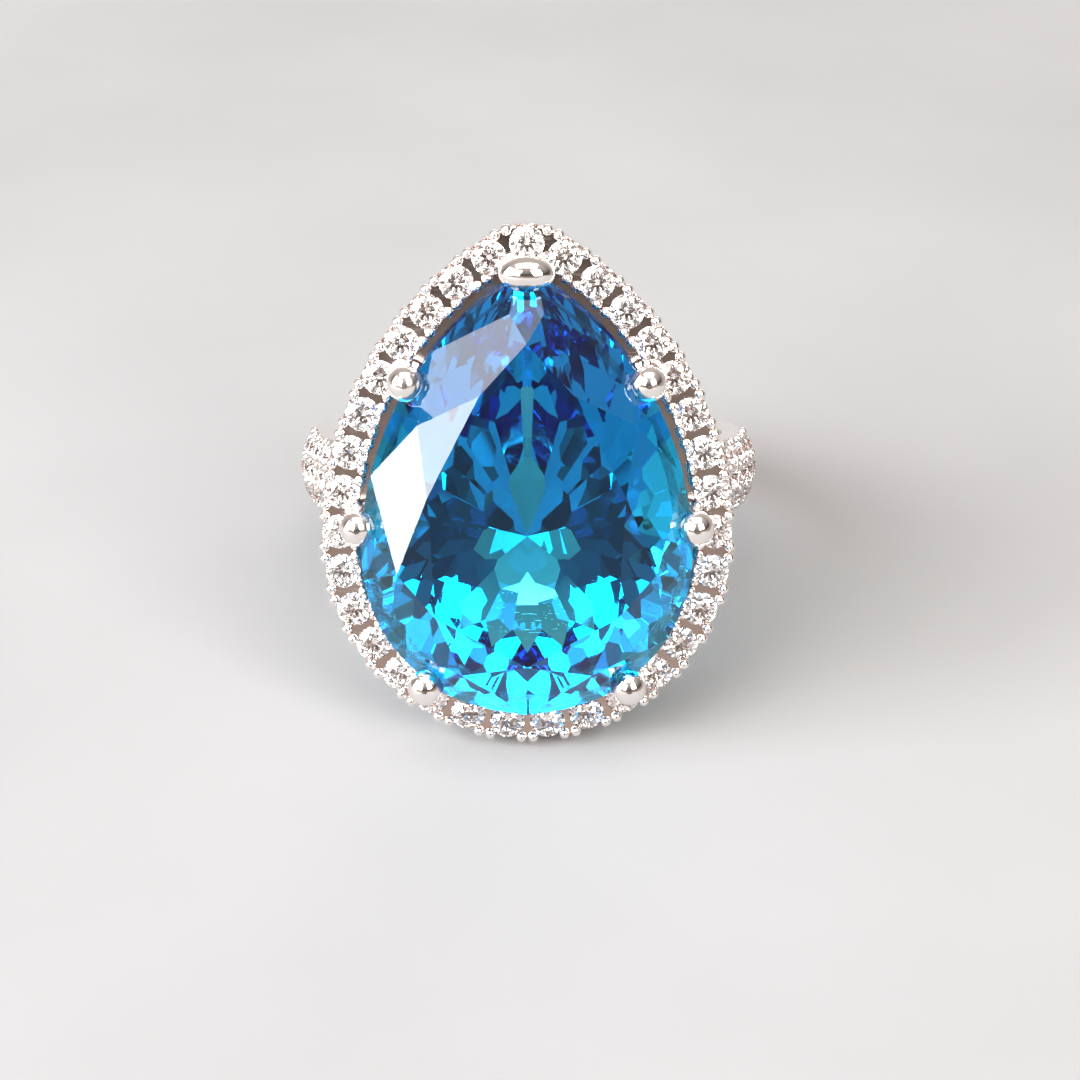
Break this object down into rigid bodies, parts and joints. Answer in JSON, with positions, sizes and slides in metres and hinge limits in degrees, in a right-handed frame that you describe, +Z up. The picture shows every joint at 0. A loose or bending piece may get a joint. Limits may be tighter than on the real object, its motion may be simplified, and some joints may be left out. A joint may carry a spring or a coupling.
{
  "type": "cocktail ring",
  "caption": "Cocktail ring with a large pear-cut blue stone in a pronged basket, a halo of small diamonds and pave shoulders on a domed shank, resting on its halo edge.",
  "frame": {"origin": "on the table under the middle of the ring as it lies at rest: centre of the bounding box in X and Y, lowest point in Z", "axes": "+Z up from the table, the stone's face looks towards -Y and leans back, +X to the right of someone who looks at the face, and the finger hole runs upwards and back"},
  "size_m": [0.0188, 0.0258, 0.0185],
  "materials": {
    "white_gold": "polished white gold",
    "blue_stone": "faceted swiss-blue topaz, polished",
    "diamond": "faceted colourless diamond, polished"
  },
  "bodies": {
    "root": {"base_rail": "white_gold", "centre_stone": "blue_stone", "halo_diamond_01": "diamond", "halo_diamond_02": "diamond", "halo_diamond_03": "diamond", "halo_diamond_04": "diamond", "halo_diamond_05": "diamond", "halo_diamond_06": "diamond", "halo_diamond_07": "diamond", "halo_diamond_08": "diamond", "halo_diamond_09": "diamond", "halo_diamond_10": "diamond", "halo_diamond_11": "diamond", "halo_diamond_12": "diamond", "halo_diamond_13": "diamond", "halo_diamond_14": "diamond", "halo_diamond_15": "diamond", "halo_diamond_16": "diamond", "halo_diamond_17": "diamond", "halo_diamond_18": "diamond", "halo_diamond_19": "diamond", "halo_diamond_20": "diamond", "halo_diamond_21": "diamond", "halo_diamond_22": "diamond", "halo_diamond_23": "diamond", "halo_diamond_24": "diamond", "halo_diamond_25": "diamond", "halo_diamond_26": "diamond", "halo_diamond_27": "diamond", "halo_diamond_28": "diamond", "halo_diamond_29": "diamond", "halo_diamond_30": "diamond", "halo_diamond_31": "diamond", "halo_diamond_32": "diamond", "halo_diamond_33": "diamond", "halo_frame": "white_gold", "left_shoulder_lower_diamonds": "diamond", "left_shoulder_middle_diamonds": "diamond", "left_shoulder_upper_diamonds": "diamond", "lower_left_prong": "white_gold", "lower_right_prong": "white_gold", "middle_left_prong": "white_gold", "middle_right_prong": "white_gold", "right_shoulder_lower_diamonds": "diamond", "right_shoulder_middle_diamonds": "diamond", "right_shoulder_upper_diamonds": "diamond", "seat_rail": "white_gold", "shank": "white_gold", "tip_prong": "white_gold", "upper_left_prong": "white_gold", "upper_right_prong": "white_gold"}
  },
  "joints": []
}
